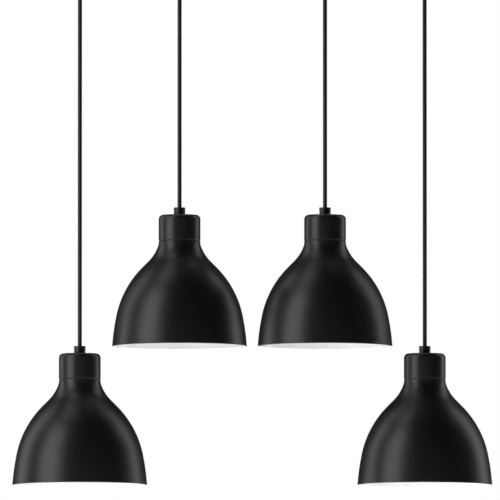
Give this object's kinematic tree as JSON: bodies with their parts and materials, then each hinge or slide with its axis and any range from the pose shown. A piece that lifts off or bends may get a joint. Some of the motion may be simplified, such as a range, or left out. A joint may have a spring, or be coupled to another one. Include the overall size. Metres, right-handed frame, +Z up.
{
  "type": "pool table lamp",
  "caption": "Ceiling lamp for over a pool table: a long shallow canopy with bell-shaped metal shades that hang on straight cords, the outer ones lower than the inner ones.",
  "frame": {"origin": "on the ceiling, at the middle of the mounting strap's two box-screw slots", "axes": "+Z up, out of the strap's face against the ceiling; +X along the row of pendants; +Y to the back"},
  "size_m": [0.712, 0.2, 0.769],
  "materials": {
    "black_paint": "satin black powder coat",
    "white_paint": "semi-gloss white enamel, on the inside of the shades",
    "zinc_steel": "bright zinc plating",
    "black_nylon": "moulded nylon, satin",
    "cord_sheath": "smooth satin black sheath",
    "black_insulation": "wire insulation",
    "white_insulation": "wire insulation",
    "green_insulation": "wire insulation",
    "white_nylon": "moulded nylon",
    "brass": "stamped and rolled brass",
    "phenolic": "moulded phenolic",
    "nickel_plate": "nickel-plated brass, rolled thread",
    "opal_glass": "frosted white bulb glass"
  },
  "bodies": {
    "canopy": {"canopy_cover": "black_paint", "mounting_strap": "zinc_steel", "canopy_cap_nuts": "black_paint", "ceiling_cord_grips": "black_nylon", "ceiling_grub_screws": "black_nylon", "grip_lock_nuts": "zinc_steel", "cord_tails": "cord_sheath", "live_wires": "black_insulation", "neutral_wires": "white_insulation", "earth_wires": "green_insulation", "terminal_block": "white_nylon", "terminal_screws": "brass"},
    "hanging_cord_1": {"cord_1": "cord_sheath"},
    "pendant_1": {"cord_grip_1": "black_nylon", "grub_screw_1": "black_nylon", "socket_cup_1": "black_paint", "holder_cap_1": "phenolic", "lamp_holder_1": "phenolic", "holder_leads_1": "cord_sheath", "socket_contacts_1": "brass", "shade_ring_1": "phenolic", "shade_1": "black_paint"},
    "bulb_1": {"bulb_base_1": "nickel_plate", "bulb_glass_1": "opal_glass"},
    "hanging_cord_2": {"cord_2": "cord_sheath"},
    "pendant_2": {"cord_grip_2": "black_nylon", "grub_screw_2": "black_nylon", "socket_cup_2": "black_paint", "holder_cap_2": "phenolic", "lamp_holder_2": "phenolic", "holder_leads_2": "cord_sheath", "socket_contacts_2": "brass", "shade_ring_2": "phenolic", "shade_2": "black_paint"},
    "bulb_2": {"bulb_base_2": "nickel_plate", "bulb_glass_2": "opal_glass"},
    "hanging_cord_3": {"cord_3": "cord_sheath"},
    "pendant_3": {"cord_grip_3": "black_nylon", "grub_screw_3": "black_nylon", "socket_cup_3": "black_paint", "holder_cap_3": "phenolic", "lamp_holder_3": "phenolic", "holder_leads_3": "cord_sheath", "socket_contacts_3": "brass", "shade_ring_3": "phenolic", "shade_3": "black_paint"},
    "bulb_3": {"bulb_base_3": "nickel_plate", "bulb_glass_3": "opal_glass"},
    "hanging_cord_4": {"cord_4": "cord_sheath"},
    "pendant_4": {"cord_grip_4": "black_nylon", "grub_screw_4": "black_nylon", "socket_cup_4": "black_paint", "holder_cap_4": "phenolic", "lamp_holder_4": "phenolic", "holder_leads_4": "cord_sheath", "socket_contacts_4": "brass", "shade_ring_4": "phenolic", "shade_4": "black_paint"},
    "bulb_4": {"bulb_base_4": "nickel_plate", "bulb_glass_4": "opal_glass"}
  },
  "joints": [
    {"name": "cord_swing_1", "type": "hinge", "parent": "canopy", "child": "hanging_cord_1", "pos_m": [-0.256, 0, -0.033], "axis": [1, 0, 0], "range_deg": [-30, 30]},
    {"name": "shade_tilt_1", "type": "hinge", "parent": "hanging_cord_1", "child": "pendant_1", "pos_m": [-0.256, 0, -0.5674], "axis": [1, 0, 0], "range_deg": [-20, 20]},
    {"name": "bulb_out_1", "type": "slide", "parent": "pendant_1", "child": "bulb_1", "axis": [0, 0, -1], "range_m": [0, 0.03]},
    {"name": "cord_swing_2", "type": "hinge", "parent": "canopy", "child": "hanging_cord_2", "pos_m": [-0.108, 0, -0.033], "axis": [1, 0, 0], "range_deg": [-30, 30]},
    {"name": "shade_tilt_2", "type": "hinge", "parent": "hanging_cord_2", "child": "pendant_2", "pos_m": [-0.108, 0, -0.3614], "axis": [1, 0, 0], "range_deg": [-20, 20]},
    {"name": "bulb_out_2", "type": "slide", "parent": "pendant_2", "child": "bulb_2", "axis": [0, 0, -1], "range_m": [0, 0.03]},
    {"name": "cord_swing_3", "type": "hinge", "parent": "canopy", "child": "hanging_cord_3", "pos_m": [0.108, 0, -0.033], "axis": [1, 0, 0], "range_deg": [-30, 30]},
    {"name": "shade_tilt_3", "type": "hinge", "parent": "hanging_cord_3", "child": "pendant_3", "pos_m": [0.108, 0, -0.3614], "axis": [1, 0, 0], "range_deg": [-20, 20]},
    {"name": "bulb_out_3", "type": "slide", "parent": "pendant_3", "child": "bulb_3", "axis": [0, 0, -1], "range_m": [0, 0.03]},
    {"name": "cord_swing_4", "type": "hinge", "parent": "canopy", "child": "hanging_cord_4", "pos_m": [0.256, 0, -0.033], "axis": [1, 0, 0], "range_deg": [-30, 30]},
    {"name": "shade_tilt_4", "type": "hinge", "parent": "hanging_cord_4", "child": "pendant_4", "pos_m": [0.256, 0, -0.5674], "axis": [1, 0, 0], "range_deg": [-20, 20]},
    {"name": "bulb_out_4", "type": "slide", "parent": "pendant_4", "child": "bulb_4", "axis": [0, 0, -1], "range_m": [0, 0.03]}
  ]
}
